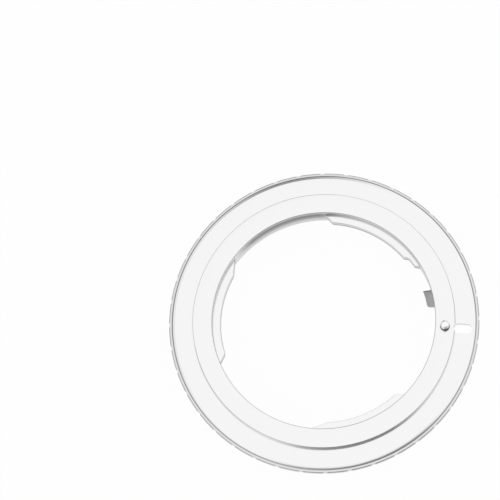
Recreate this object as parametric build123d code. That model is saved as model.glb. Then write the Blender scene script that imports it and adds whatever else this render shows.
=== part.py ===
from build123d import *
import math
import os

# Lens mount adapter: a thin turned ring that sets a 46.5 mm register lens on a 44.0 mm register camera.
# Millimetres. +Z runs along the optical axis from the camera towards the lens, and the lens seat looks up.
# The origin is on the optical axis, in the plane of the ring's rear end, on which it rests.
# +X points from the axis to the lock pin and the lock slot.
# Angles are in degrees from +X, anticlockwise as seen from the lens.

# Levels, from the rear end
bayonet_height = 4.2
flange_thickness = 1.3
# How far the lens seat stands in front of the camera seat: the 46.5 mm register less the 44.0 mm one
seat_rise = 2.5
claw_recess = 1.45
claw_thickness = 1.5

# Lens side
pilot_radius = 23.5
seat_width = 4.1
seat_outer_chamfer = 0.12
seat_inner_chamfer = 0.15
gap_clearance = 0.3
chamber_relief = 0.05

# Inner claws: where each leaves the wall, where its inner edge starts and ends, and where it meets the wall
claw_width = 1.7
claw_shoulder_step = 0.75
claw_corner_radius = 0.35
claws = [
    {"leaves": 33.2, "shoulder": (35.8, 41.0), "edge_from": 43.3, "edge_to": 89.0, "meets": 94.0},
    {"leaves": 146.0, "shoulder": None, "edge_from": 155.4, "edge_to": 201.5, "meets": 206.5},
    {"leaves": 264.5, "shoulder": None, "edge_from": 276.3, "edge_to": 316.9, "meets": 322.0},
]

# Flange with a notched rim
flange_width = 5.1
rim_bevel_run = 0.5
rim_bevel_drop = 0.09
rim_step_run = 0.2
rim_step_drop = 0.15
rim_ledge = 0.35
rim_land_chamfer = 0.2
rim_rear_chamfer = 0.2
notch_count = 40
notch_width = 0.85
notch_depth = 0.36

# Camera side
neck_wall = 1.35
neck_outer_chamfer = 0.3
neck_inner_chamfer = 0.12
tab_reach = 1.7
tab_thickness = 1.6
tab_corner_radius = 0.5
tab_edge_chamfer = 0.25
tab_angles = [(30.0, 80.0), (150.0, 200.0), (268.0, 318.0)]
relief_clearance = 0.3
relief_depth = 0.2

# Lock slot, which takes the camera's lock pin
slot_length = 3.75
slot_width = 2.05
slot_corner_radius = 0.7
slot_bite = 0.2

# Lock pin, which drops into the lens's notch
pin_inset = 2.05
pin_radius = 0.92
pin_stand = 1.6
pin_clearance = 0.06
pin_top_radius = 0.4
pin_hole_chamfer = 0.12
rivet_radius = 0.55
rivet_head_radius = 0.85
rivet_head_height = 0.28
rivet_clearance = 0.05

# Lock spring, a leaf in a pocket under the seat, with its end bent into a release lug
spring_thickness = 0.22
spring_above_flange = 0.45
spring_setback = 0.25
spring_band_width = 1.3
spring_pad_width = 2.3
spring_pad_angle = -22.7
spring_pad_span = 12.6
spring_tip_angle = 22.4
spring_ear_margin = 0.2
spring_corner_radius = 0.35
lug_span = 9.5
lug_length = 2.15
lug_slope = 33.0
lug_rear_clearance = 0.05
lug_bend_radius = 0.4
lug_tip_radius = 0.7

# Pocket for the spring
pocket_side_clearance = 0.1
pocket_end_angle = 1.2
pocket_corner_radius = 0.8

# Spring screws
screw_spread = 7.0
screw_radius = 0.55
screw_clearance = 0.05
screw_head_radius = 0.95
screw_head_height = 0.4
screw_depth = 1.3
screw_hole_margin = 0.1
screw_slot_width = 0.28
screw_slot_depth = 0.18

# Levels that follow from the sizes above
flange_front = bayonet_height + flange_thickness
seat_level = bayonet_height + seat_rise
claw_front = seat_level - claw_recess
claw_rear = claw_front - claw_thickness
spring_rear = bayonet_height + spring_above_flange
spring_front = spring_rear + spring_thickness

# Radii that follow, outwards from the pilot bore on the lens side
throat_radius = pilot_radius - claw_width
claw_shoulder_radius = throat_radius + claw_shoulder_step
gap_radius = pilot_radius + gap_clearance
chamber_radius = gap_radius + chamber_relief
pin_circle_radius = pilot_radius + pin_inset
seat_radius = pilot_radius + seat_width
slot_inner_reach = seat_radius - slot_bite
slot_outer_reach = slot_inner_reach + slot_length
rim_radius = seat_radius + flange_width

# Radii that follow on the camera side
neck_radius = chamber_radius + neck_wall
tab_root_radius = chamber_radius + neck_wall / 2
tab_radius = neck_radius + tab_reach
relief_radius = tab_radius + relief_clearance

# Radii and angles that follow for the spring
spring_inner_radius = chamber_radius + spring_setback
spring_band_outer = spring_inner_radius + spring_band_width
spring_pad_outer = spring_inner_radius + spring_pad_width
spring_ear_radius = pin_radius + spring_ear_margin
spring_root_angle = spring_pad_angle - spring_pad_span
lug_root_radius = spring_inner_radius + spring_band_width / 2
lug_reach_radius = spring_inner_radius - lug_length
lug_start_angle = spring_tip_angle - lug_span
pocket_outer = max(pin_circle_radius + spring_ear_radius, spring_pad_outer) + pocket_side_clearance
screw_circle_radius = spring_inner_radius + spring_pad_width / 2
screw_middle_angle = spring_pad_angle - spring_pad_span / 2
screw_angles = [screw_middle_angle - screw_spread / 2, screw_middle_angle + screw_spread / 2]

# How far cutting shapes run past what they cut, and where turned shapes start, clear of the milled features
cut_margin = 1.0
seam_angle = 112.0
match_tolerance = 1e-3


def at(radius, angle):
    """A point of the plan at a radius and an angle."""
    turn = math.radians(angle)
    return (radius * math.cos(turn), radius * math.sin(turn))


def off_axis(point):
    """How far a point lies from the optical axis."""
    return math.hypot(point.X, point.Y)


def arc(radius, start, end):
    return CenterArc((0, 0), radius, start, end - start)


def sector(inner, outer, start, end):
    """A piece of a flat ring between two radii and two angles."""
    outline = arc(inner, start, end) + Line(at(inner, end), at(outer, end))
    outline += arc(outer, start, end) + Line(at(outer, start), at(inner, start))
    return make_face(outline)


def corners_at(sketch, radius):
    """The corners of a flat shape that lie at a radius from the axis."""
    return [corner for corner in sketch.vertices() if abs(off_axis(corner) - radius) < match_tolerance]


def slab(sketch, low, high):
    """A flat shape given height from one level to another."""
    return extrude(Pos(0, 0, low) * sketch, amount=high - low)


def section(points):
    """A flat face through the axis from (radius, level) points."""
    return make_face(Polyline([(radius, 0, level) for radius, level in points], close=True))


def turned(points):
    """A solid of revolution about the optical axis from (radius, level) points."""
    return revolve(Rot(0, 0, seam_angle) * section(points), Axis.Z)


def ring_blank():
    """The outside of the ring as turned: neck, relief, camera seat, rim, flange, step and lens seat."""
    step_foot = rim_radius - rim_land_chamfer - rim_ledge
    bevel_foot = step_foot - rim_step_run
    bevel_level = flange_front - rim_bevel_drop
    ledge_level = bevel_level - rim_step_drop
    return turned(
        [
            (0, 0),
            (neck_radius - neck_outer_chamfer, 0),
            (neck_radius, neck_outer_chamfer),
            (neck_radius, bayonet_height + relief_depth),
            (relief_radius, bayonet_height + relief_depth),
            (relief_radius, bayonet_height),
            (rim_radius - rim_rear_chamfer, bayonet_height),
            (rim_radius, bayonet_height + rim_rear_chamfer),
            (rim_radius, ledge_level - rim_land_chamfer),
            (rim_radius - rim_land_chamfer, ledge_level),
            (step_foot, ledge_level),
            (bevel_foot, bevel_level),
            (bevel_foot - rim_bevel_run, flange_front),
            (seat_radius, flange_front),
            (seat_radius, seat_level - seat_outer_chamfer),
            (seat_radius - seat_outer_chamfer, seat_level),
            (0, seat_level),
        ]
    )


def rear_tabs():
    """Three outer tabs on the neck, with rounded corners and broken edges."""
    tabs = Part()
    for start, end in tab_angles:
        plan = sector(tab_root_radius, tab_radius, start, end)
        plan = fillet(corners_at(plan, tab_radius), tab_corner_radius)
        tab = slab(plan, 0, tab_thickness)
        levels = tab.faces().filter_by(Axis.Z)
        rims = [edge for face in levels for edge in face.edges()]
        past_root = tab_root_radius + match_tolerance
        outside = [edge for edge in rims if off_axis(edge.position_at(0.5)) > past_root]
        tabs += chamfer(outside, tab_edge_chamfer)
    return tabs


def pilot_bore():
    """The short round bore that centres the lens, down to the front of the claws."""
    return turned(
        [
            (0, claw_front),
            (pilot_radius, claw_front),
            (pilot_radius, seat_level - seat_inner_chamfer),
            (pilot_radius + seat_inner_chamfer, seat_level),
            (pilot_radius + seat_inner_chamfer, seat_level + cut_margin),
            (0, seat_level + cut_margin),
        ]
    )


def chamber():
    """The room behind the claws in which the lens's tabs turn, open to the rear."""
    mouth_radius = chamber_radius + neck_inner_chamfer
    return turned(
        [
            (0, -cut_margin),
            (mouth_radius, -cut_margin),
            (mouth_radius, 0),
            (chamber_radius, neck_inner_chamfer),
            (chamber_radius, claw_rear),
            (0, claw_rear),
        ]
    )


def throat():
    """The opening between the claws: wide in the gaps, narrow along the claws, with sloped ends between."""
    outline = Curve()
    for place, claw in enumerate(claws):
        before = claws[place - 1]["meets"]
        if before > claw["leaves"]:
            before -= 360
        outline += arc(gap_radius, before, claw["leaves"])
        corner = at(gap_radius, claw["leaves"])
        if claw["shoulder"]:
            shoulder_from, shoulder_to = claw["shoulder"]
            outline += Line(corner, at(claw_shoulder_radius, shoulder_from))
            outline += arc(claw_shoulder_radius, shoulder_from, shoulder_to)
            corner = at(claw_shoulder_radius, shoulder_to)
        outline += Line(corner, at(throat_radius, claw["edge_from"]))
        outline += arc(throat_radius, claw["edge_from"], claw["edge_to"])
        outline += Line(at(throat_radius, claw["edge_to"]), at(gap_radius, claw["meets"]))
    opening = make_face(outline)
    return slab(fillet(opening.vertices(), claw_corner_radius), claw_rear, claw_front)


def spring_pocket():
    """The pocket that opens the neck and the flange's rear for the spring and its travel."""
    start = spring_root_angle - pocket_end_angle
    end = spring_tip_angle + pocket_end_angle
    plan = sector(throat_radius, pocket_outer, start, end)
    plan = fillet(corners_at(plan, pocket_outer), pocket_corner_radius)
    return slab(plan, -cut_margin, spring_front)


def lock_slot():
    """The slot in the flange for the camera's lock pin. It starts in the foot of the seat's step."""
    plan = RectangleRounded(slot_length, slot_width, slot_corner_radius)
    plan = Pos((slot_inner_reach + slot_outer_reach) / 2, 0) * plan
    return slab(plan, bayonet_height - cut_margin, seat_level + cut_margin)


def pin_hole():
    """The hole that guides the lock pin, with a broken edge at the seat."""
    hole_radius = pin_radius + pin_clearance
    hole = turned(
        [
            (0, spring_front - cut_margin),
            (hole_radius, spring_front - cut_margin),
            (hole_radius, seat_level - pin_hole_chamfer),
            (hole_radius + pin_hole_chamfer, seat_level),
            (hole_radius + pin_hole_chamfer, seat_level + cut_margin),
            (0, seat_level + cut_margin),
        ]
    )
    return Pos(pin_circle_radius, 0, 0) * hole


def screw_holes():
    """Two blind holes for the spring's screws, from the pocket's floor up into the seat."""
    holes = Sketch()
    for angle in screw_angles:
        holes += Pos(*at(screw_circle_radius, angle)) * Circle(screw_radius + screw_clearance)
    return slab(holes, spring_front - cut_margin, spring_front + screw_depth + screw_hole_margin)


def rim_notches():
    """Square grip notches, milled across the whole rim, with a land on each axis."""
    half_pitch = 180 / notch_count
    places = PolarLocations(rim_radius, notch_count, start_angle=half_pitch)
    cutters = Sketch() + list(places * Rectangle(2 * notch_depth, notch_width))
    return slab(cutters, bayonet_height - cut_margin, flange_front + cut_margin)


def adapter_ring():
    """The ring, turned and then milled from one piece of metal."""
    ring = ring_blank() + rear_tabs()
    for cut in (pilot_bore(), chamber(), throat(), spring_pocket(), lock_slot()):
        ring -= cut
    for cut in (pin_hole(), screw_holes(), rim_notches()):
        ring -= cut
    return ring


def lock_pin():
    """The pin: a rounded top above the seat, a guided shank, and a riveted foot that holds the spring."""
    shoulder = spring_front + rivet_clearance
    foot = spring_rear - rivet_clearance
    pin = turned(
        [
            (0, foot - rivet_head_height),
            (rivet_head_radius, foot - rivet_head_height),
            (rivet_head_radius, foot),
            (rivet_radius, foot),
            (rivet_radius, shoulder),
            (pin_radius, shoulder),
            (pin_radius, seat_level + pin_stand),
            (0, seat_level + pin_stand),
        ]
    )
    top_edge = pin.edges().filter_by(GeomType.CIRCLE).sort_by(Axis.Z)[-1]
    return Pos(pin_circle_radius, 0, 0) * fillet(top_edge, pin_top_radius)


def release_lug():
    """The spring's end, bent down past the chamber and then in and up under the bore, for a fingernail."""
    slope = math.radians(lug_slope)
    bend_set = lug_bend_radius / math.tan((math.pi / 2 - slope) / 2)
    bend_rear = pin_stand + lug_rear_clearance + lug_bend_radius - bend_set
    bend_front = bend_rear + spring_thickness / math.cos(slope) + spring_thickness * math.tan(slope)
    wall_outer = spring_inner_radius + spring_thickness
    tip_rear = bend_rear + (wall_outer - lug_reach_radius) * math.tan(slope)
    tip_front = tip_rear + spring_thickness * math.cos(slope)
    tip_front_radius = lug_reach_radius + spring_thickness * math.sin(slope)
    points = [
        (lug_root_radius, spring_front),
        (spring_inner_radius, spring_front),
        (spring_inner_radius, bend_front),
        (tip_front_radius, tip_front),
        (lug_reach_radius, tip_rear),
        (wall_outer, bend_rear),
        (wall_outer, spring_rear),
        (lug_root_radius, spring_rear),
    ]
    bends = {
        (spring_inner_radius, spring_front): lug_bend_radius,
        (wall_outer, bend_rear): lug_bend_radius,
        (spring_inner_radius, bend_front): lug_bend_radius - spring_thickness,
        (wall_outer, spring_rear): lug_bend_radius - spring_thickness,
    }
    profile = section(points)
    for (radius, level), bend in bends.items():
        corner = profile.vertices().sort_by_distance((radius, 0, level))[0]
        profile = fillet(corner, bend)
    lug = revolve(Rot(0, 0, lug_start_angle) * profile, Axis.Z, spring_tip_angle - lug_start_angle)
    tip = (*at((lug_reach_radius + tip_front_radius) / 2, lug_start_angle), (tip_rear + tip_front) / 2)
    tip_edge = lug.edges().sort_by_distance(tip)[0]
    return fillet(tip_edge, lug_tip_radius)


def lock_spring():
    """The leaf: a clamped pad, a narrow curved band, an ear around the pin, and the bent release lug."""
    plan = sector(spring_inner_radius, spring_band_outer, spring_root_angle, spring_tip_angle)
    plan += sector(spring_inner_radius, spring_pad_outer, spring_root_angle, spring_pad_angle)
    plan += Pos(pin_circle_radius, 0) * Circle(spring_ear_radius)
    plan = fillet(corners_at(plan, spring_pad_outer), spring_corner_radius)
    inner_corners = [
        corner
        for corner in corners_at(plan, spring_band_outer)
        if abs(math.degrees(math.atan2(corner.Y, corner.X)) - spring_tip_angle) > match_tolerance
    ]
    plan = fillet(inner_corners, spring_corner_radius)
    plan -= Pos(pin_circle_radius, 0) * Circle(rivet_radius + rivet_clearance)
    for angle in screw_angles:
        plan -= Pos(*at(screw_circle_radius, angle)) * Circle(screw_radius + screw_clearance)
    plan -= sector(throat_radius, lug_root_radius, lug_start_angle, spring_tip_angle + pocket_end_angle)
    return slab(plan, spring_rear, spring_front) + release_lug()


def spring_screw(angle):
    """A tiny slotted screw that clamps the spring's pad from below."""
    head_rear = spring_rear - screw_head_height
    body = turned(
        [
            (0, head_rear),
            (screw_head_radius, head_rear),
            (screw_head_radius, spring_rear),
            (screw_radius, spring_rear),
            (screw_radius, spring_front + screw_depth),
            (0, spring_front + screw_depth),
        ]
    )
    groove = Pos(0, 0, head_rear) * Box(3 * screw_head_radius, screw_slot_width, 2 * screw_slot_depth)
    return Pos(*at(screw_circle_radius, angle)) * (Rot(0, 0, angle) * (body - groove))


os.makedirs("parts", exist_ok=True)
export_step(adapter_ring(), "parts/adapter_ring.step")
export_step(lock_pin(), "parts/lock_pin.step")
export_step(lock_spring(), "parts/lock_spring.step")
for number, screw_angle in enumerate(screw_angles, start=1):
    export_step(spring_screw(screw_angle), f"parts/spring_screw_{number}.step")
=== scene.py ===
import math

import bmesh
import bpy
from mathutils import Matrix, Vector


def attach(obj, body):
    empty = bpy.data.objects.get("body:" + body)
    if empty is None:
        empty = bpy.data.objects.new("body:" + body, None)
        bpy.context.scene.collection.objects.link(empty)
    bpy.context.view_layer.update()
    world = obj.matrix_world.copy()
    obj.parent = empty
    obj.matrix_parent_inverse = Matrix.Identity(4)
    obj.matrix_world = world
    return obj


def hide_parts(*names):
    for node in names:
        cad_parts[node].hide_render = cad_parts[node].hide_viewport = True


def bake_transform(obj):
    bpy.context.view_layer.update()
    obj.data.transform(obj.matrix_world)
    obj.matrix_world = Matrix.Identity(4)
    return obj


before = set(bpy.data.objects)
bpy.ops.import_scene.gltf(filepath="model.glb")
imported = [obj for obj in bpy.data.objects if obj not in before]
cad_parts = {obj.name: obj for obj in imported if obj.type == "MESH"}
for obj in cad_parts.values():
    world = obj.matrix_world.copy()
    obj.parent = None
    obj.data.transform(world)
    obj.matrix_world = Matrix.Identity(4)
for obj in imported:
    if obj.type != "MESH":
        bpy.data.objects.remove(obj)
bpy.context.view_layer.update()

# Sizes in millimetres, angles in degrees from the lock pin, as in the frame
mm = 0.001

# Levels of the ring, up from its rear end
seat_level = 6.7
flange_front = 5.5
flange_rear = 4.2
claw_front = 5.25
claw_rear = 3.75

# Bore and claws; the blank is turned with a narrower bore, which the throat opens
claw_count = 3
blank_radius = 20.0
pilot_radius = 23.5
chamber_radius = 23.85
chamber_chamfer = 0.12
gap_radius = 23.8
shoulder_radius = 22.55
throat_radius = 21.8
throat_outline = [
    (gap_radius, -38.0), (gap_radius, 33.2), (shoulder_radius, 35.8), (shoulder_radius, 41.0),
    (throat_radius, 43.3), (throat_radius, 89.0), (gap_radius, 94.0), (gap_radius, 146.0),
    (throat_radius, 155.4), (throat_radius, 201.5), (gap_radius, 206.5), (gap_radius, 264.5),
    (throat_radius, 276.3), (throat_radius, 316.9), (gap_radius, 322.0),
]
throat_low = 1.0

# Seat, flange and rim
seat_radius = 27.63
seat_foot = 27.68
bevel_start = 31.45
bevel_foot = 31.93
bevel_level = 5.41
ledge_start = 32.14
ledge_level = 5.26
rim_radius = 32.7
rim_chamfer = 0.2
notch_count = 40
notch_width = 0.85
notch_depth = 0.15
notch_cut_height = 3.0
notch_cut_level = 4.7

# Neck and its outer tabs
neck_radius = 25.2
neck_chamfer = 0.3
relief_radius = 27.2
relief_depth = 0.2
tab_root = 24.6
tab_radius = 26.9
tab_thickness = 1.6
tab_chamfer = 0.25
tab_corner = 0.5
tab_corner_zone = 0.6
tab_angles = [(30.0, 80.0), (150.0, 200.0), (268.0, 318.0)]

# Lock slot, spring pocket, and the holes for the pin and the screws
slot_middle = 29.275
slot_length = 3.75
slot_width = 2.05
slot_corner = 0.9
slot_cut_low = 3.0
slot_cut_height = 5.0
pocket_inner = 22.0
pocket_outer = 26.77
pocket_start = -36.5
pocket_end = 23.6
pocket_low = -1.0
hole_cut_low = 4.0
pin_hole_radius = 0.98
pin_hole_mouth = 1.13
pin_hole_mouth_depth = 0.05
pin_hole_past_seat = 0.1
screw_hole_radius = 0.6
screw_hole_top = 6.27

# Lock pin
pin_circle = 25.55
pin_radius = 0.92
pin_top = 8.3
pin_end_round = 0.4
pin_collar = 4.92
pin_neck_radius = 0.55
pin_foot_radius = 0.85
pin_foot_rear = 4.32
pin_foot_front = 4.6
pin_foot_round = 0.08

# Lock spring, from its clamped root to the lug at its tip
spring_rear = 4.65
spring_front = 4.87
spring_inner = 24.1
spring_outer = 25.4
spring_thickness = 0.22
spring_break = 0.03
pad_outer = 26.4
ear_radius = 1.12
rivet_hole_radius = 0.6
rivet_hole_top = 5.5
root_angle = -35.3
pad_angle = -22.7
lug_angle = 12.9
tip_angle = 22.4
# Where the painted shade line along the lug's tip end begins, and where it is full
shade_line_start = tip_angle - 0.9
shade_line_full = tip_angle - 0.5
lug_slope = math.radians(33.0)
lug_tip_inner = (21.95, 2.852)
lug_tip_upper = (22.07, 3.037)
lug_bend_outer = (24.32, 1.313)
lug_bend_inner = (24.1, 1.718)
lug_tip_round = 0.04
lug_bend_outer_round = 0.735
lug_bend_inner_round = 0.33
lug_root_outer_round = 0.18
lug_root_inner_round = 0.4
lug_corner = 0.7

# The spring's stretches reach a hair into one another, so that no two faces share a plane
lug_overlap = 0.6
pad_inset = 0.02
pad_angle_inset = 0.05
ear_inset = 0.005
lug_inset = 0.004

# Screws
screw_circle = 25.25
screw_angles = [-32.5, -25.5]
screw_head_radius = 0.95
screw_head_height = 0.4
screw_head_round = 0.12
screw_shank_radius = 0.55
screw_tip = 6.17
screw_tip_round = 0.1
screw_slot = (3.0, 0.28, 0.36)
screw_slot_turn = 7

# How far the edges are broken
edge_break = 0.05
seat_edge = 0.1
bore_edge = 0.16
rim_round = 0.19
claw_edge = 0.12
chamber_edge = 0.03
tab_edge = 0.04


def spot(radius, angle, level):
    """A point in metres from a radius, an angle and a level."""
    turn = math.radians(angle)
    return Vector((radius * math.cos(turn), radius * math.sin(turn), level)) * mm


def turned(corners, steps, start=0.0, sweep=360.0, segments=3):
    """Spins a closed outline of (radius, level, rounding) corners about the optical axis."""
    wide_rounding, wide_segments = 0.1, 8
    bm = bmesh.new()
    points = [bm.verts.new(spot(radius, start, level)) for radius, level, _ in corners]
    bm.faces.new(points)
    for size in sorted({rounding for _, _, rounding in corners if rounding}):
        chosen = [point for point, corner in zip(points, corners) if corner[2] == size]
        bmesh.ops.bevel(
            bm, geom=chosen, offset=size * mm, offset_type="OFFSET",
            segments=segments if size < wide_rounding else wide_segments, profile=0.5,
            affect="VERTICES", material=-1, clamp_overlap=True,
        )
    # A full turn is one twelfth of it, repeated, which takes far less time than one long spin
    full = sweep == 360.0
    shares = 12 if full else 1
    if full:
        bmesh.ops.delete(bm, geom=bm.faces[:], context="FACES_ONLY")
    bmesh.ops.spin(
        bm, geom=bm.verts[:] + bm.edges[:] + bm.faces[:], cent=(0, 0, 0), axis=(0, 0, 1),
        angle=math.radians(sweep / shares), steps=steps // shares, use_merge=False,
        use_normal_flip=False, use_duplicate=False,
    )
    if full:
        bmesh.ops.spin(
            bm, geom=bm.verts[:] + bm.edges[:] + bm.faces[:], cent=(0, 0, 0), axis=(0, 0, 1),
            angle=math.radians(sweep - sweep / shares), steps=shares - 1, use_merge=False,
            use_normal_flip=False, use_duplicate=True,
        )
    bmesh.ops.remove_doubles(bm, verts=bm.verts[:], dist=1e-7)
    bmesh.ops.delete(bm, geom=[edge for edge in bm.edges if edge.is_wire], context="EDGES")
    if not full:
        bmesh.ops.holes_fill(bm, edges=[edge for edge in bm.edges if edge.is_boundary], sides=0)
    bmesh.ops.recalc_face_normals(bm, faces=bm.faces[:])
    return bm


def drawn(path, spacing):
    """An outline in the plan through (radius, angle) places, with arcs where the radius stays."""
    bm = bmesh.new()
    last = bm.verts.new(spot(*path[0], 0.0))
    for (radius, angle), (next_radius, next_angle) in zip(path, path[1:]):
        if abs(radius - next_radius) < 1e-6:
            length = radius * math.radians(abs(next_angle - angle))
            steps = max(2, round(length / spacing))
            bmesh.ops.spin(
                bm, geom=[last], cent=(0, 0, 0), axis=(0, 0, 1), angle=math.radians(next_angle - angle),
                steps=steps, use_merge=False, use_normal_flip=False, use_duplicate=False,
            )
        else:
            far = bm.verts.new(spot(next_radius, next_angle, 0.0))
            line = bm.edges.new((last, far))
            cuts = max(1, round(line.calc_length() / mm / spacing) - 1)
            bmesh.ops.subdivide_edges(bm, edges=[line], cuts=cuts)
        bm.verts.ensure_lookup_table()
        last = min(bm.verts, key=lambda vert: (vert.co - spot(next_radius, next_angle, 0.0)).length)
    bmesh.ops.remove_doubles(bm, verts=bm.verts[:], dist=1e-6)
    return bm


def soften(bm, passes):
    """Rounds the corners of a drawn outline."""
    for _ in range(passes):
        bmesh.ops.smooth_vert(
            bm, verts=bm.verts[:], factor=0.5, use_axis_x=True, use_axis_y=True, use_axis_z=True,
        )


def raise_faces(bm, faces, height, keep=True):
    """Extrudes faces upwards and gives the raised points."""
    grown = bmesh.ops.extrude_face_region(bm, geom=faces, use_keep_orig=keep)
    raised = [item for item in grown["geom"] if isinstance(item, bmesh.types.BMVert)]
    bmesh.ops.translate(bm, verts=raised, vec=(0, 0, height * mm))
    return raised


def plate(bm, low, high):
    """Fills a flat outline and gives it height between two levels."""
    bmesh.ops.contextual_create(bm, geom=bm.edges[:])
    bmesh.ops.translate(bm, verts=bm.verts[:], vec=(0, 0, low * mm))
    raise_faces(bm, bm.faces[:], high - low)
    bmesh.ops.recalc_face_normals(bm, faces=bm.faces[:])
    return bm


def rod(radius, low, high, place, sides=48):
    """A plain round bar between two levels over a place."""
    bm = bmesh.new()
    bmesh.ops.create_cone(
        bm, cap_ends=True, segments=sides, radius1=radius * mm, radius2=radius * mm,
        depth=(high - low) * mm,
    )
    bmesh.ops.translate(bm, verts=bm.verts[:], vec=place + Vector((0, 0, (low + high) / 2 * mm)))
    return bm


def block(size, place, angle):
    """A block of a size in millimetres, moved to a place and then turned about the axis."""
    bm = bmesh.new()
    bmesh.ops.create_cube(bm, size=1.0)
    bmesh.ops.scale(bm, verts=bm.verts[:], vec=Vector(size) * mm)
    bmesh.ops.translate(bm, verts=bm.verts[:], vec=[part * mm for part in place])
    turn = Matrix.Rotation(math.radians(angle), 3, "Z")
    bmesh.ops.rotate(bm, verts=bm.verts[:], cent=(0, 0, 0), matrix=turn)
    return bm


def corner_inset(run, corner):
    """How far a rounded corner lies inside the square one, at a run from its side."""
    return corner - math.sqrt(max(0.0, corner**2 - (corner - max(run, 0.0))**2))


def piece(name, bm):
    """A new object at the origin that holds this mesh."""
    mesh = bpy.data.meshes.new(name)
    bm.to_mesh(mesh)
    bm.free()
    made = bpy.data.objects.new(name, mesh)
    bpy.context.scene.collection.objects.link(made)
    return made


def cut(body, bm, operation="DIFFERENCE"):
    """Cuts a shape out of a body, or joins it on, and keeps the result as the body's mesh."""
    tool = piece("cutter", bm)
    step = body.modifiers.new("cut", "BOOLEAN")
    step.operation = operation
    step.solver = "MANIFOLD"
    step.object = tool
    done = bpy.data.meshes.new_from_object(body.evaluated_get(bpy.context.evaluated_depsgraph_get()))
    body.modifiers.clear()
    old = body.data
    body.data = done
    done.name = body.name
    done.materials.clear()
    bpy.data.meshes.remove(old)
    bpy.data.meshes.remove(tool.data)


def shade(body, sharp_angle=12.0):
    """Smooth curved walls, crisp corners."""
    bm = bmesh.new()
    bm.from_mesh(body.data)
    bmesh.ops.remove_doubles(bm, verts=bm.verts[:], dist=2e-7)
    limit = math.radians(sharp_angle)
    for face in bm.faces:
        face.smooth = True
    for edge in bm.edges:
        edge.smooth = edge.is_manifold and edge.calc_face_angle(math.pi) < limit
    bm.to_mesh(body.data)
    bm.free()
    return body


def adapter_ring():
    """The ring: turned as one outline, then milled."""
    blank = turned(
        [
            (blank_radius, claw_front, 0),
            (pilot_radius, claw_front, 0),
            (pilot_radius, seat_level, bore_edge),
            (seat_radius, seat_level, seat_edge),
            (seat_radius, seat_level - 2 * seat_edge, 0),  # keeps the shading of the wall upright
            (seat_radius, flange_front + seat_foot - seat_radius, 0),
            (seat_foot, flange_front, 0),
            (bevel_start, flange_front, edge_break),
            (bevel_foot, bevel_level, edge_break),
            (ledge_start, ledge_level, 0),
            (rim_radius, ledge_level, rim_round),
            (rim_radius, flange_rear + rim_chamfer, edge_break),
            (rim_radius - rim_chamfer, flange_rear, edge_break),
            (relief_radius, flange_rear, edge_break),
            (relief_radius, flange_rear + relief_depth, 0),
            (neck_radius, flange_rear + relief_depth, 0),
            (neck_radius, neck_chamfer, edge_break),
            (neck_radius - neck_chamfer, 0.0, edge_break),
            (chamber_radius + chamber_chamfer, 0.0, chamber_edge),
            (chamber_radius, chamber_chamfer, chamber_edge),
            (chamber_radius, claw_rear, 0),
            (blank_radius, claw_rear, 0),
        ],
        steps=720,
    )
    ring = piece("adapter_ring_dressed", blank)
    for start, end in tab_angles:
        cut(ring, rear_tab(start, end), "UNION")
    cut(ring, throat())
    cut(ring, spring_pocket())
    cut(ring, small_cuts())
    return shade(ring)


def rear_tab(start, end):
    """One outer tab of the neck, with broken edges and rounded corners."""
    bm = turned(
        [
            (tab_root, 0.0, 0),
            (tab_radius - tab_chamfer, 0.0, tab_edge),
            (tab_radius, tab_chamfer, tab_edge),
            (tab_radius, tab_thickness - tab_chamfer, tab_edge),
            (tab_radius - tab_chamfer, tab_thickness, tab_edge),
            (tab_root, tab_thickness, 0),
        ],
        steps=200, start=start, sweep=end - start,
    )
    for vert in bm.verts:
        radius = math.hypot(vert.co.x, vert.co.y) / mm
        angle = math.degrees(math.atan2(vert.co.y, vert.co.x)) % 360
        run = math.radians(min(angle - start, end - angle)) * radius
        if radius > tab_radius - tab_corner_zone and run < tab_corner:
            share = (radius - corner_inset(run, tab_corner)) / radius
            vert.co.x *= share
            vert.co.y *= share
    return bm


def throat():
    """The opening between the claws, with softened corners, a little wider at the claws' front edge."""
    bm = drawn(throat_outline, spacing=0.12)
    soften(bm, passes=3)
    plate(bm, throat_low, claw_front - claw_edge)
    front = [face for face in bm.faces if face.normal.z > 0.9]
    past_claws = 0.001
    raised = raise_faces(bm, front, claw_edge + past_claws, keep=False)
    bmesh.ops.delete(bm, geom=front, context="FACES_ONLY")
    wider = 1 + claw_edge / throat_radius
    bmesh.ops.scale(bm, verts=raised, vec=(wider, wider, 1.0))
    bmesh.ops.recalc_face_normals(bm, faces=bm.faces[:])
    return bm


def spring_pocket():
    """The pocket behind the seat that the spring lies and moves in."""
    bm = drawn(
        [
            (pocket_inner, pocket_start), (pocket_inner, pocket_end),
            (pocket_outer, pocket_end), (pocket_outer, pocket_start), (pocket_inner, pocket_start),
        ],
        spacing=0.2,
    )
    soften(bm, passes=6)
    return plate(bm, pocket_low, spring_front)


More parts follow.
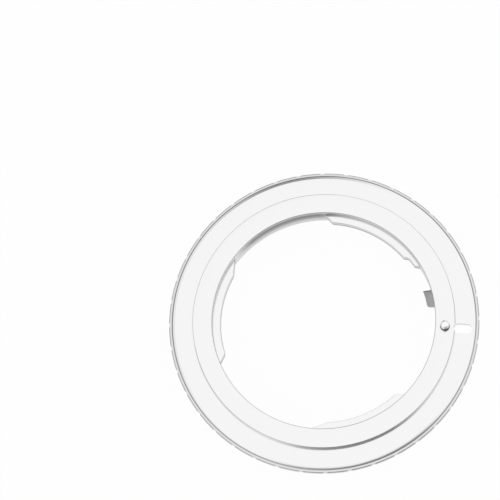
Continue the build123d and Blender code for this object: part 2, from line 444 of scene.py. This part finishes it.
def small_cuts():
    """Everything else that is milled: lock slot, pin hole, screw holes and rim notches."""
    bm = bmesh.new()
    half_length = slot_length / 2 * mm
    half_width = slot_width / 2 * mm
    middle = Vector((slot_middle * mm, 0, slot_cut_low * mm))
    signs = [(-1, -1), (1, -1), (1, 1), (-1, 1)]
    corners = [bm.verts.new(middle + Vector((x * half_length, y * half_width, 0))) for x, y in signs]
    bm.faces.new(corners)
    bmesh.ops.bevel(
        bm, geom=corners, offset=slot_corner * mm, offset_type="OFFSET", segments=10, profile=0.5,
        affect="VERTICES", material=-1, clamp_overlap=True,
    )
    raise_faces(bm, bm.faces[:], slot_cut_height)
    hole = turned(
        [
            (0.0, hole_cut_low, 0),
            (pin_hole_radius, hole_cut_low, 0),
            (pin_hole_radius, seat_level - pin_hole_mouth_depth, 0),
            (pin_hole_mouth, seat_level + pin_hole_past_seat, 0),
            (0.0, seat_level + pin_hole_past_seat, 0),
        ],
        steps=60,
    )
    bmesh.ops.translate(hole, verts=hole.verts[:], vec=(pin_circle * mm, 0, 0))
    shapes = [hole]
    for angle in screw_angles:
        place = spot(screw_circle, angle, 0.0)
        shapes.append(rod(screw_hole_radius, hole_cut_low, screw_hole_top, place))
    for number in range(notch_count):
        size = (2 * notch_depth, notch_width, notch_cut_height)
        shapes.append(block(size, (rim_radius, 0, notch_cut_level), (number + 0.5) * 360 / notch_count))
    for shape in shapes:
        held = bpy.data.meshes.new("held")
        shape.to_mesh(held)
        shape.free()
        bm.from_mesh(held)
        bpy.data.meshes.remove(held)
    bmesh.ops.recalc_face_normals(bm, faces=bm.faces[:])
    return bm


def lock_pin():
    """The pin: rounded top, guided shank, and the riveted foot under the spring."""
    bm = turned(
        [
            (0.0, pin_foot_rear, 0),
            (pin_foot_radius, pin_foot_rear, pin_foot_round),
            (pin_foot_radius, pin_foot_front, pin_foot_round),
            (pin_neck_radius, pin_foot_front, 0),
            (pin_neck_radius, pin_collar, 0),
            (pin_radius, pin_collar, edge_break),
            (pin_radius, pin_top, pin_end_round),
            (0.0, pin_top, 0),
        ],
        steps=96, segments=8,
    )
    bmesh.ops.translate(bm, verts=bm.verts[:], vec=(pin_circle * mm, 0, 0))
    return shade(piece("lock_pin_dressed", bm), sharp_angle=20.0)


def band(inner, outer, start, end, steps):
    """A stretch of the spring's flat leaf."""
    corners = [(inner, spring_rear), (outer, spring_rear), (outer, spring_front), (inner, spring_front)]
    broken = [(*corner, spring_break) for corner in corners]
    return turned(broken, steps, start, end - start, segments=2)


def release_lug():
    """The spring's end, bent down and in, with one rounded corner."""
    lug = turned(
        [
            (spring_outer, spring_rear + lug_inset, 0),
            (spring_outer, spring_front - lug_inset, 0),
            (spring_inner, spring_front - lug_inset, lug_root_inner_round),
            (*lug_bend_inner, lug_bend_inner_round),
            (*lug_tip_upper, lug_tip_round),
            (*lug_tip_inner, lug_tip_round),
            (*lug_bend_outer, lug_bend_outer_round),
            (spring_inner + spring_thickness, spring_rear + lug_inset, lug_root_outer_round),
        ],
        steps=48, start=lug_angle, sweep=tip_angle - lug_angle,
    )
    for vert in lug.verts:
        radius = math.hypot(vert.co.x, vert.co.y) / mm
        angle = math.degrees(math.atan2(vert.co.y, vert.co.x))
        run = math.radians(angle - lug_angle) * radius
        if radius < lug_tip_upper[0] + lug_corner and run < lug_corner:
            moved = max(0.0, lug_tip_inner[0] + corner_inset(run, lug_corner) - radius)
            share = (radius + moved) / radius
            vert.co *= Vector((share, share, 1.0))
            vert.co.z -= moved * math.tan(lug_slope) * mm
    return lug


def lock_spring():
    """The leaf: clamped pad, narrow band, ear round the pin, and the release lug."""
    pin_place = Vector((pin_circle * mm, 0, 0))
    strip = band(spring_inner, spring_outer, root_angle, lug_angle + lug_overlap, steps=120)
    pad = band(spring_inner + pad_inset, pad_outer, root_angle + pad_angle_inset, pad_angle, steps=30)
    ear = rod(ear_radius, spring_rear + ear_inset, spring_front - ear_inset, pin_place, sides=72)
    leaf = piece("lock_spring_dressed", strip)
    for joined in (pad, ear, release_lug()):
        cut(leaf, joined, "UNION")
    cut(leaf, rod(rivet_hole_radius, hole_cut_low, rivet_hole_top, pin_place))
    return shade(leaf, sharp_angle=25.0)


def spring_screw(number, angle):
    """A small slotted cheese-head screw that clamps the spring's pad from behind."""
    head_rear = spring_rear - screw_head_height
    bm = turned(
        [
            (0.0, head_rear, 0),
            (screw_head_radius, head_rear, screw_head_round),
            (screw_head_radius, spring_rear, 0),
            (screw_shank_radius, spring_rear, 0),
            (screw_shank_radius, screw_tip, screw_tip_round),
            (0.0, screw_tip, 0),
        ],
        steps=60,
    )
    screw = piece(f"spring_screw_{number}_dressed", bm)
    cut(screw, block(screw_slot, (0, 0, head_rear), angle * screw_slot_turn))
    screw.data.transform(Matrix.Translation(spot(screw_circle, angle, 0.0)))
    return shade(screw, sharp_angle=20.0)


class Finish:
    """A metal finish and the nodes that vary it."""

    def __init__(self, name):
        self.material = bpy.data.materials.new(name)
        self.material.use_nodes = True
        self.nodes = self.material.node_tree.nodes
        self.links = self.material.node_tree.links
        self.shader = self.nodes["Principled BSDF"]
        self.shader.inputs["Metallic"].default_value = 1.0

    def node(self, kind, **settings):
        """A new node with its settings."""
        made = self.nodes.new(kind)
        for name, value in settings.items():
            setattr(made, name, value)
        return made

    def along(self, direction):
        """Where a point lies, in millimetres: out from the axis, or up from the rear end."""
        place = self.node("ShaderNodeTexCoord").outputs["Object"]
        scaled = self.node("ShaderNodeVectorMath", operation="MULTIPLY")
        self.links.new(place, scaled.inputs[0])
        if direction == "out":
            scaled.inputs[1].default_value = (1 / mm, 1 / mm, 0.0)
            length = self.node("ShaderNodeVectorMath", operation="LENGTH")
            self.links.new(scaled.outputs["Vector"], length.inputs[0])
            return length.outputs["Value"]
        scaled.inputs[1].default_value = (1 / mm, 1 / mm, 1 / mm)
        parts = self.node("ShaderNodeSeparateXYZ")
        self.links.new(scaled.outputs["Vector"], parts.inputs[0])
        return parts.outputs["Z"]

    def around(self):
        """Where a point lies round the axis, in degrees from the lock pin."""
        place = self.node("ShaderNodeTexCoord").outputs["Object"]
        parts = self.node("ShaderNodeSeparateXYZ")
        self.links.new(place, parts.inputs[0])
        angle = self.node("ShaderNodeMath", operation="ARCTAN2")
        self.links.new(parts.outputs["Y"], angle.inputs[0])
        self.links.new(parts.outputs["X"], angle.inputs[1])
        degrees = self.node("ShaderNodeMath", operation="DEGREES")
        self.links.new(angle.outputs[0], degrees.inputs[0])
        return degrees.outputs[0]

    def thirds(self, middle):
        """1 in the gaps between the claws and 0 over the claws, from one gap's middle angle."""
        turn = self.node("ShaderNodeMath", operation="MULTIPLY_ADD")
        self.links.new(self.around(), turn.inputs[0])
        turn.inputs[1].default_value = math.radians(claw_count)
        turn.inputs[2].default_value = math.radians(-claw_count * middle)
        wave = self.node("ShaderNodeMath", operation="COSINE")
        self.links.new(turn.outputs[0], wave.inputs[0])
        return self.spread(wave.outputs[0], 0.0, 1.0, 0.0, 0.55)

    def lines(self, source, per_mm):
        """Tool marks that vary along a length only."""
        noise = self.node("ShaderNodeTexNoise", noise_dimensions="1D")
        noise.inputs["Scale"].default_value = per_mm
        noise.inputs["Detail"].default_value = 4.0
        noise.inputs["Roughness"].default_value = 0.6
        self.links.new(source, noise.inputs["W"])
        return noise.outputs["Fac"]

    def spread(self, source, low, high, from_low, from_high):
        """Carries one span of values over to another."""
        step = self.node("ShaderNodeMapRange")
        step.inputs["From Min"].default_value = from_low
        step.inputs["From Max"].default_value = from_high
        step.inputs["To Min"].default_value = low
        step.inputs["To Max"].default_value = high
        self.links.new(source, step.inputs["Value"])
        return step.outputs["Result"]

    def ramp(self, source, stops):
        """Greys from (place, grey) stops."""
        made = self.node("ShaderNodeValToRGB")
        while len(made.color_ramp.elements) < len(stops):
            made.color_ramp.elements.new(1.0)
        for element, (place, value) in zip(made.color_ramp.elements, stops):
            element.position = place
            element.color = (value, value, value, 1.0)
        self.links.new(source, made.inputs["Fac"])
        return made.outputs["Color"]

    def tone(self, source, stops):
        """How light the metal is, from (place, grey) stops."""
        self.links.new(self.ramp(source, stops), self.shader.inputs["Base Color"])

    def tone_between(self, share, one, other):
        """How light the metal is, from one grey to another by a share."""
        mix = self.node("ShaderNodeMix", data_type="RGBA")
        self.links.new(share, mix.inputs["Factor"])
        self.links.new(one, mix.inputs["A"])
        self.links.new(other, mix.inputs["B"])
        self.links.new(mix.outputs["Result"], self.shader.inputs["Base Color"])

    def rough(self, source, low, high):
        """How dull the metal is, between two limits."""
        self.links.new(self.spread(source, low, high, 0.3, 0.7), self.shader.inputs["Roughness"])

    def bump(self, source, depth_mm, strength):
        """How far the tool marks stand up."""
        made = self.node("ShaderNodeBump")
        made.inputs["Strength"].default_value = strength
        made.inputs["Distance"].default_value = depth_mm * mm
        self.links.new(source, made.inputs["Height"])
        self.links.new(made.outputs["Normal"], self.shader.inputs["Normal"])


def satin_chrome():
    """Flat faces: satin chrome over fine turning marks."""
    made = Finish("satin_chrome")
    marks = made.lines(made.along("out"), per_mm=6.0)
    made.tone(marks, [(0.3, 0.905), (0.7, 0.935)])
    made.rough(marks, 0.12, 0.2)
    made.bump(marks, depth_mm=0.002, strength=0.15)
    return made.material


def chrome_edge():
    """Broken edges of the claws, the neck and the tabs, and of bore and seat, with painted shade
    darkening the bore edge and the seat edge.
    """
    made = Finish("chrome_edge")
    across = made.spread(made.along("out"), 0.0, 1.0, throat_radius, seat_radius)
    # Painted shade: the darker stops at the bore edge and at the seat edge paint the dark lines of
    # shade along these edges.
    made.tone(across, [
        (0.0, 0.74), (0.23, 0.74), (0.27, 0.5), (0.335, 0.5),
        (0.38, 0.68), (0.92, 0.7), (0.96, 0.36), (1.0, 0.36),
    ])
    made.rough(made.lines(made.along("out"), per_mm=9.0), 0.2, 0.32)
    return made.material


def rim_edge():
    """The small step and the roundings of the rim, with painted shade darkening the step and the outer
    edge.
    """
    made = Finish("rim_edge")
    across = made.spread(made.along("out"), 0.0, 1.0, bevel_foot, rim_radius)
    # Painted shade: the low greys in the step and at the outer edge paint the dark lines of shade
    # there.
    made.tone(across, [(0.0, 0.46), (0.22, 0.4), (0.3, 0.78), (0.7, 0.8), (0.78, 0.5), (1.0, 0.44)])
    made.rough(made.lines(made.along("out"), per_mm=9.0), 0.22, 0.36)
    return made.material


def step_wall():
    """The wall between the seat and the flange, bright, with painted shade darkening its foot."""
    made = Finish("step_wall")
    height = made.spread(made.along("up"), 0.0, 1.0, flange_front, seat_level)
    # Painted shade: the lower stops darken the corner at the foot of the wall.
    made.tone(height, [(0.0, 0.7), (0.05, 0.74), (0.08, 0.8), (1.0, 0.84)])
    made.rough(made.lines(made.along("up"), per_mm=6.0), 0.08, 0.14)
    return made.material


def milled_wall():
    """Milled and turned sides of the rim, the notches, the pocket and the neck."""
    made = Finish("milled_wall")
    marks = made.lines(made.along("up"), per_mm=5.0)
    made.tone(marks, [(0.3, 0.68), (0.7, 0.78)])
    made.rough(marks, 0.28, 0.4)
    made.bump(marks, depth_mm=0.005, strength=0.4)
    return made.material


def slot_wall():
    """The sides of the lock slot, bright, with painted shade darkening the upper edge."""
    made = Finish("slot_wall")
    height = made.spread(made.along("up"), 0.0, 1.0, flange_rear, flange_front)
    # Painted shade: the top stops paint a dark line of shade along the slot's upper edge.
    made.tone(height, [(0.0, 0.95), (0.6, 0.93), (0.72, 0.42), (1.0, 0.36)])
    made.rough(made.lines(made.along("up"), per_mm=6.0), 0.24, 0.34)
    return made.material


def bore_wall():
    """The bore, with painted shade: dark in the pilot between the claws, lighter above the claws, where
    their bright tops are reflected, and towards the rear.
    """
    made = Finish("bore_wall")
    height = made.spread(made.along("up"), 0.0, 1.0, 0.0, seat_level)
    # Painted shade and painted reflection: greys by height over the claws and in the gaps stand in for
    # the shade and reflections in the bore.
    painted_tone_over_claws = made.ramp(height, [(0.0, 0.62), (0.12, 0.75), (0.5, 0.76), (0.8, 0.6), (0.97, 0.8)])
    painted_shade_in_gaps = made.ramp(height, [
        (0.0, 0.55), (0.05, 0.64), (0.15, 0.7), (0.24, 0.6), (0.39, 0.36),
        (0.56, 0.2), (0.78, 0.2), (0.89, 0.35), (0.98, 0.6),
    ])
    made.tone_between(made.thirds(middle=115.0), painted_tone_over_claws, painted_shade_in_gaps)
    marks = made.lines(made.along("up"), per_mm=5.0)
    made.rough(marks, 0.36, 0.48)
    made.bump(marks, depth_mm=0.006, strength=0.4)
    return made.material


def claw_wall():
    """Inner ends and flanks of the claws, bright, with painted shade darkening the rear edge."""
    made = Finish("claw_wall")
    height = made.spread(made.along("up"), 0.0, 1.0, claw_rear, claw_front)
    # Painted shade: the low stops at the rear paint a dark line of shade along the claws' rear edge.
    made.tone(height, [(0.0, 0.16), (0.2, 0.28), (0.45, 0.6), (0.85, 0.7), (1.0, 0.6)])
    made.rough(made.lines(made.along("up"), per_mm=5.0), 0.3, 0.42)
    return made.material


def rolled_spring_steel():
    """Rolled spring steel, with a painted shade line along the lug's tip end."""
    made = Finish("rolled_spring_steel")
    marks = made.lines(made.along("out"), per_mm=12.0)
    # Painted shade: darker greys along the lug's tip end stand in for the shadow there.
    shade_line_share = made.spread(made.around(), 0.0, 1.0, shade_line_start, shade_line_full)
    rolled_face = made.ramp(marks, [(0.3, 0.72), (0.7, 0.8)])
    shade_line_tone = made.ramp(marks, [(0.3, 0.36), (0.7, 0.42)])
    made.tone_between(shade_line_share, rolled_face, shade_line_tone)
    made.rough(marks, 0.34, 0.46)
    return made.material


def pin_with_painted_shade():
    """Bright on its end, with painted shade darkening the side that runs in the hole."""
    made = Finish("pin_with_painted_shade")
    height = made.spread(made.along("up"), 0.0, 1.0, seat_level, pin_top)
    # Painted shade: the side below the end is made darker than the end.
    made.tone(height, [(0.0, 0.5), (0.6, 0.55), (0.85, 0.85), (0.95, 0.95)])
    made.rough(made.lines(made.along("up"), per_mm=8.0), 0.14, 0.26)
    return made.material


def bright_screw():
    """Plain bright steel of the two screws."""
    made = Finish("bright_screw")
    marks = made.lines(made.along("up"), per_mm=8.0)
    made.tone(marks, [(0.3, 0.55), (0.7, 0.65)])
    made.rough(marks, 0.2, 0.3)
    return made.material


def ring_finish(face):
    """Which finish a face of the ring has, from where it lies and how it is turned."""
    flat, tilted = 0.97, 0.15
    rim_reach, rim_depth = 0.02, 0.25
    wall_reach, above_flange = 0.2, 0.001
    claw_reach, bore_reach, slot_reach = 0.1, 0.3, 0.1
    upright = abs(face.normal.z)
    radius = math.hypot(face.center.x, face.center.y) / mm
    level = face.center.z / mm
    inward = face.normal.x * face.center.x + face.normal.y * face.center.y < 0
    if radius > bevel_foot - rim_reach and level > ledge_level - rim_depth and upright > tilted:
        return "rim_edge"
    on_wall = flange_front + above_flange < level < seat_level - seat_edge
    if abs(radius - seat_foot) < wall_reach and on_wall:
        return "step_wall"
    if upright > flat:
        return "satin_chrome"
    if upright > tilted:
        return "rim_edge" if radius > bevel_foot else "chrome_edge"
    if radius < pilot_radius - claw_reach:
        return "claw_wall"
    if inward and radius < chamber_radius + bore_reach:
        return "bore_wall"
    if abs(radius - slot_middle) < slot_length / 2 + slot_reach:
        return "slot_wall"
    return "milled_wall"


ring = adapter_ring()
for finish in [
    satin_chrome(), chrome_edge(), rim_edge(), step_wall(),
    milled_wall(), slot_wall(), bore_wall(), claw_wall(),
]:
    ring.data.materials.append(finish)
for face in ring.data.polygons:
    face.material_index = ring.data.materials.find(ring_finish(face))
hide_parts("adapter_ring")
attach(ring, "ring")

pin = lock_pin()
pin.data.materials.append(pin_with_painted_shade())
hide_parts("lock_pin")
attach(pin, "pin")

spring = lock_spring()
spring.data.materials.append(rolled_spring_steel())
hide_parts("lock_spring")
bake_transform(spring)

screw_finish = bright_screw()
for number, angle in enumerate(screw_angles, start=1):
    screw = spring_screw(number, angle)
    screw.data.materials.append(screw_finish)
    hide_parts(f"spring_screw_{number}")
    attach(screw, "ring")

# Floor: white paper, shown white, with the part's soft shadow left on it
floor_radius = 3.0
paper_grey = 0.95
shown_white = 0.965
bm = bmesh.new()
bmesh.ops.create_circle(bm, cap_ends=True, segments=96, radius=floor_radius)
floor = piece("floor", bm)
paper = bpy.data.materials.new("white_paper")
paper.use_nodes = True
nodes, links = paper.node_tree.nodes, paper.node_tree.links
sheet = nodes["Principled BSDF"]
sheet.inputs["Base Color"].default_value = (paper_grey, paper_grey, paper_grey, 1.0)
sheet.inputs["Roughness"].default_value = 0.9
glow = nodes.new("ShaderNodeEmission")
glow.inputs["Strength"].default_value = 1.0
rays = nodes.new("ShaderNodeLightPath")
seen = nodes.new("ShaderNodeMath")
links.new(rays.outputs["Is Camera Ray"], seen.inputs[0])
links.new(rays.outputs["Is Glossy Ray"], seen.inputs[1])
seen_through = nodes.new("ShaderNodeMath")
seen_through.use_clamp = True
links.new(seen.outputs[0], seen_through.inputs[0])
links.new(rays.outputs["Is Transmission Ray"], seen_through.inputs[1])
share = nodes.new("ShaderNodeMath")
share.operation = "MULTIPLY"
share.inputs[1].default_value = shown_white
links.new(seen_through.outputs[0], share.inputs[0])
mixed = nodes.new("ShaderNodeMixShader")
links.new(share.outputs[0], mixed.inputs["Fac"])
links.new(sheet.outputs[0], mixed.inputs[1])
links.new(glow.outputs[0], mixed.inputs[2])
links.new(mixed.outputs[0], nodes["Material Output"].inputs["Surface"])
floor.data.materials.append(paper)

# Light: a white tent, dim near the floor but for two light boxes in front, and darker in a gap behind,
# in a corner at the right in front and in a spot high up in front
world = bpy.data.worlds.new("studio")
bpy.context.scene.world = world
world.use_nodes = True
nodes, links = world.node_tree.nodes, world.node_tree.links
way = nodes.new("ShaderNodeTexCoord")


def level_way(angle):
    """A level direction at an angle in the frame."""
    return (math.cos(math.radians(angle)), math.sin(math.radians(angle)), 0.0)


def steep_way(angle, slope):
    """A direction at an angle in the frame and a slope above the level."""
    level = math.cos(math.radians(slope))
    return tuple(level * part for part in level_way(angle)[:2]) + (math.sin(math.radians(slope)),)


def multiplied(one, other):
    """The product of two values, or the second alone where there is no first yet."""
    if one is None:
        return other
    product = nodes.new("ShaderNodeMath")
    product.operation = "MULTIPLY"
    links.new(one, product.inputs[0])
    links.new(other, product.inputs[1])
    return product.outputs[0]


def tent_part(terms):
    """A share from 0 to 1 over the tent: the product of (direction, either side, from, to) terms."""
    total = None
    for direction, either, low, high in terms:
        dot = nodes.new("ShaderNodeVectorMath")
        dot.operation = "DOT_PRODUCT"
        dot.inputs[1].default_value = direction
        links.new(way.outputs["Generated"], dot.inputs[0])
        value = dot.outputs["Value"]
        if either:
            size = nodes.new("ShaderNodeMath")
            size.operation = "ABSOLUTE"
            links.new(value, size.inputs[0])
            value = size.outputs[0]
        step = nodes.new("ShaderNodeMapRange")
        step.interpolation_type = "SMOOTHSTEP"
        step.inputs["From Min"].default_value = low
        step.inputs["From Max"].default_value = high
        links.new(value, step.inputs["Value"])
        total = multiplied(total, step.outputs["Result"])
    return total


# Places in the tent: (direction, either side, from, to)
upwards = (0, 0, 1)
near_floor = (upwards, False, 0.65, 0.1)
off_left_box = (level_way(222), False, 0.95, 0.72)
off_right_box = (level_way(352), False, 0.95, 0.72)
low_left = (level_way(160), False, 0.25, 0.5)
behind = (level_way(106.5), False, 0.43, 0.57)
middle_of_back = (level_way(16.5), True, 0.25, 0.03)
low_right_front = (level_way(308), False, 0.35, 0.75)
middle_of_right_front = (level_way(38), True, 0.75, 0.25)
high_in_front = (steep_way(293, 70), False, 0.93, 0.985)
below_the_top = (upwards, False, 0.986, 0.972)
bright = None
for loss, terms in [
    (0.62, [near_floor, off_left_box, off_right_box]),
    (0.14, [low_left]),
    (0.68, [behind, middle_of_back]),
    (0.45, [low_right_front, middle_of_right_front]),
    (0.9, [high_in_front, below_the_top]),
]:
    left = nodes.new("ShaderNodeMath")
    left.operation = "MULTIPLY_ADD"
    links.new(tent_part(terms), left.inputs[0])
    left.inputs[1].default_value = -loss
    left.inputs[2].default_value = 1.0
    bright = multiplied(bright, left.outputs[0])
links.new(bright, nodes["Background"].inputs["Color"])
nodes["Background"].inputs["Strength"].default_value = 1.0

# Camera, aimed past the ring as the photograph's framing is
camera_azimuth = math.radians(14.9)
camera_elevation = math.radians(74.25)
camera_roll = math.radians(11.32)
camera_distance = 800.0
sensor_width = 36.0
image_width = 500
pixels_per_mm = 4.756
seat_pixel = (323.43, 319.72)
back = Vector((
    math.sin(camera_azimuth) * math.cos(camera_elevation),
    -math.cos(camera_azimuth) * math.cos(camera_elevation),
    math.sin(camera_elevation),
))
seat_middle = Vector((0, 0, seat_level * mm))
level_turn = (-back).to_track_quat("-Z", "Y").to_matrix()
rolled = level_turn @ Matrix.Rotation(-camera_roll, 3, "Z")
right, up = rolled.col[0], rolled.col[1]
eye = seat_middle + back * camera_distance * mm
seat_right, seat_down = [(pixel - image_width / 2) / pixels_per_mm * mm for pixel in seat_pixel]
aim = seat_middle - right * seat_right + up * seat_down
look = (aim - eye).normalized()
side = look.cross(up).normalized()
top = side.cross(look)
camera = bpy.data.objects.new("camera", bpy.data.cameras.new("camera"))
bpy.context.scene.collection.objects.link(camera)
camera.data.sensor_width = sensor_width
camera.data.lens = sensor_width * pixels_per_mm * camera_distance / image_width
camera.data.clip_start = 0.01
camera.data.clip_end = 20.0
turn = Matrix((side, top, -look)).transposed().to_4x4()
camera.matrix_world = Matrix.Translation(eye) @ turn
bpy.context.scene.camera = camera
bpy.context.scene.view_settings.view_transform = "Standard"
